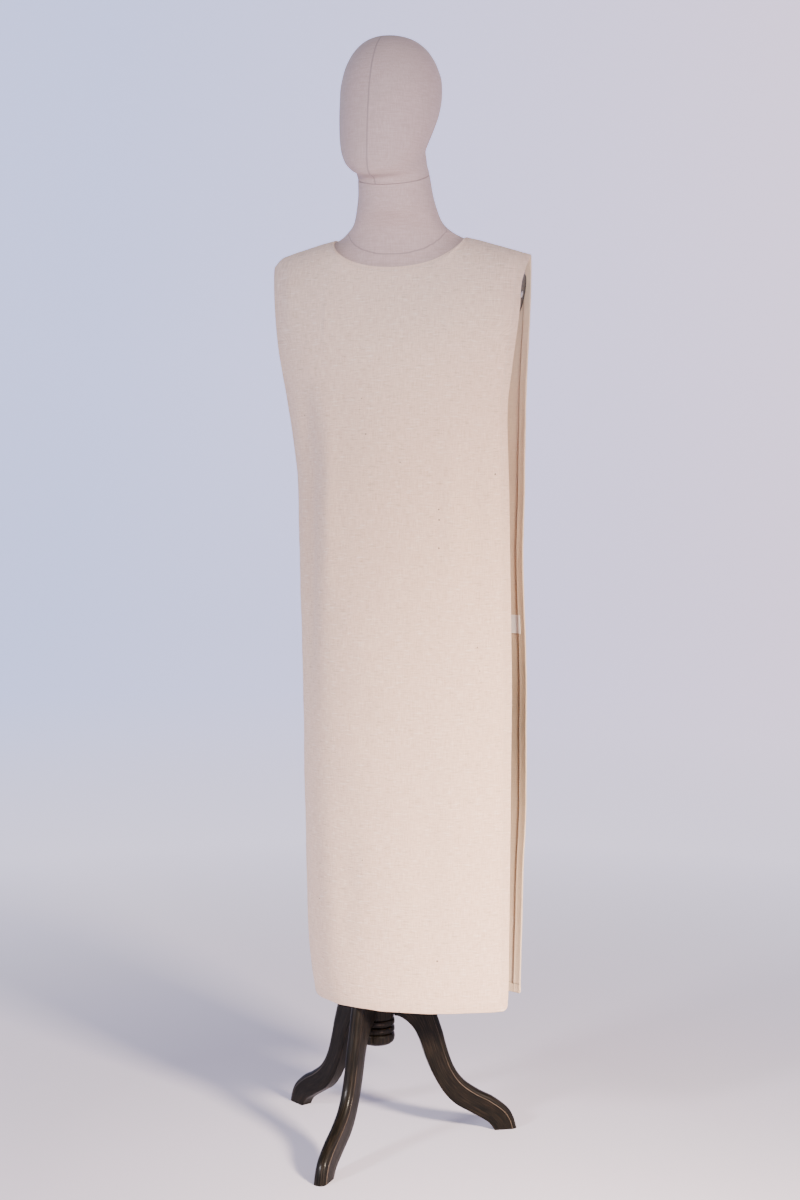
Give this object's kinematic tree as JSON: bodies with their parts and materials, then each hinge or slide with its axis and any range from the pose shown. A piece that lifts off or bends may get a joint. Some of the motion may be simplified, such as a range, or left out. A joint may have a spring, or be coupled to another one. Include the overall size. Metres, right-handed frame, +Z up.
{
  "type": "medieval surcoat on a limbless dress form with a tripod stand",
  "caption": "Sleeveless open-sided canvas surcoat, long front and back panels joined at the shoulders, worn by a headed dress form on a turned wooden tripod.",
  "frame": {"origin": "on the floor, under the middle of the whole part's box", "axes": "+Z up, the wearer faces -Y, +X is the wearer's left"},
  "size_m": [0.4546, 0.4022, 1.85],
  "materials": {
    "canvas": "undyed heavy cotton canvas, plain weave, matte",
    "ribbon": "bare white woven ribbon",
    "linen": "natural linen cover, matte",
    "stain": "black-brown stained and lacquered wood, satin",
    "steel": "bright screw head"
  },
  "bodies": {
    "root": {"front_panel": "canvas", "back_panel": "canvas", "care_label": "ribbon", "form_body": "linen", "form_head": "linen", "shoulder_plate_left": "stain", "shoulder_plate_right": "stain", "shoulder_screw_left": "steel", "shoulder_screw_right": "steel", "stand_column": "stain", "stand_finial": "stain", "leg_front": "stain", "leg_left": "stain", "leg_right": "stain"}
  },
  "joints": []
}
